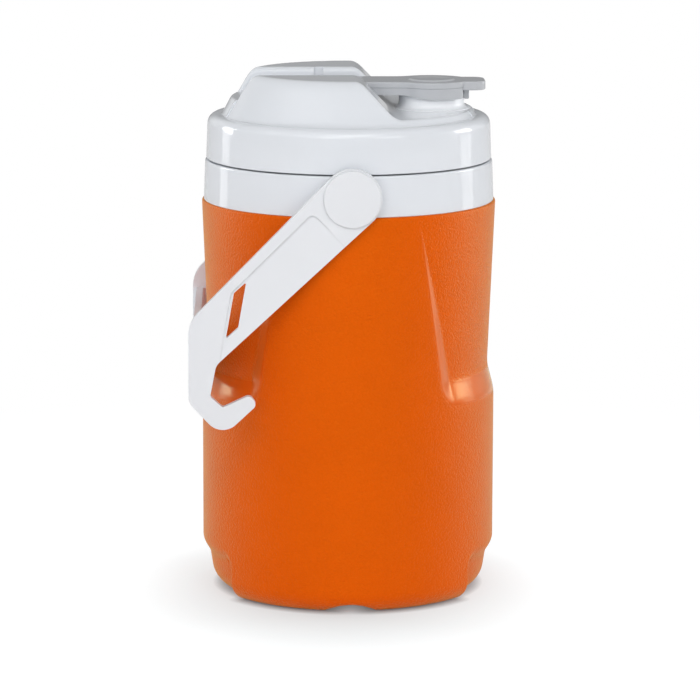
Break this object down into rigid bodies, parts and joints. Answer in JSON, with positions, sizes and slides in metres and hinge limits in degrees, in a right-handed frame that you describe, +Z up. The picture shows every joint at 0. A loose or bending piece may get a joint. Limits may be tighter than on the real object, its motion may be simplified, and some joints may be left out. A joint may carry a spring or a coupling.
{
  "type": "insulated drinks jug",
  "caption": "Insulated round drinks jug with a foamed double wall, screw lid, flip-cap pouring spout and a swinging bail handle with fence hooks.",
  "frame": {"origin": "centre of the base, on the plane that the foot ring and the fill plug stand on", "axes": "+Z up along the body's axis, +X towards the pouring spout, so the handle is folded down on the -X side"},
  "size_m": [0.1544, 0.162, 0.2633],
  "materials": {
    "body_orange": "satin with a fine moulded grain",
    "lid_white": "gloss",
    "handle_white": "satin",
    "cap_grey": "satin",
    "liner_white": "semi-gloss",
    "foam_cream": "cellular foam",
    "seal_grey": "matt"
  },
  "bodies": {
    "jug": {"outer_shell": "body_orange", "fill_plug": "seal_grey", "foam_core": "foam_cream", "liner": "liner_white", "collar": "lid_white", "pivot_pin_left": "handle_white", "pivot_pin_right": "handle_white"},
    "handle": {"handle": "handle_white"},
    "lid_seal": {"lid_gasket": "seal_grey"},
    "lid": {"lid_shell": "lid_white", "lid_plate": "liner_white", "lid_foam": "foam_cream", "pour_spout": "lid_white"},
    "spout_cap": {"spout_cap": "cap_grey", "cap_hinge_pin": "cap_grey", "spout_seal": "seal_grey"}
  },
  "joints": [
    {"name": "handle_swing", "type": "hinge", "parent": "jug", "child": "handle", "pos_m": [0, 0, 0.209], "axis": [0, 1, 0], "range_deg": [0, 260]},
    {"name": "lid_rise", "type": "slide", "parent": "jug", "child": "lid_seal", "axis": [0, 0, 1], "range_m": [0, 0.0161]},
    {"name": "lid_turn", "type": "hinge", "parent": "lid_seal", "child": "lid", "pos_m": [0, 0, 0.22], "axis": [0, 0, 1], "range_deg": [0, 720]},
    {"name": "cap_flip", "type": "hinge", "parent": "lid", "child": "spout_cap", "pos_m": [-0.01502, 0, 0.256], "axis": [0, -1, 0], "range_deg": [0, 180]}
  ],
  "couplings": [
    {"joint": "lid_rise", "follows": "lid_turn", "m_per_rad": 0.0012732}
  ]
}
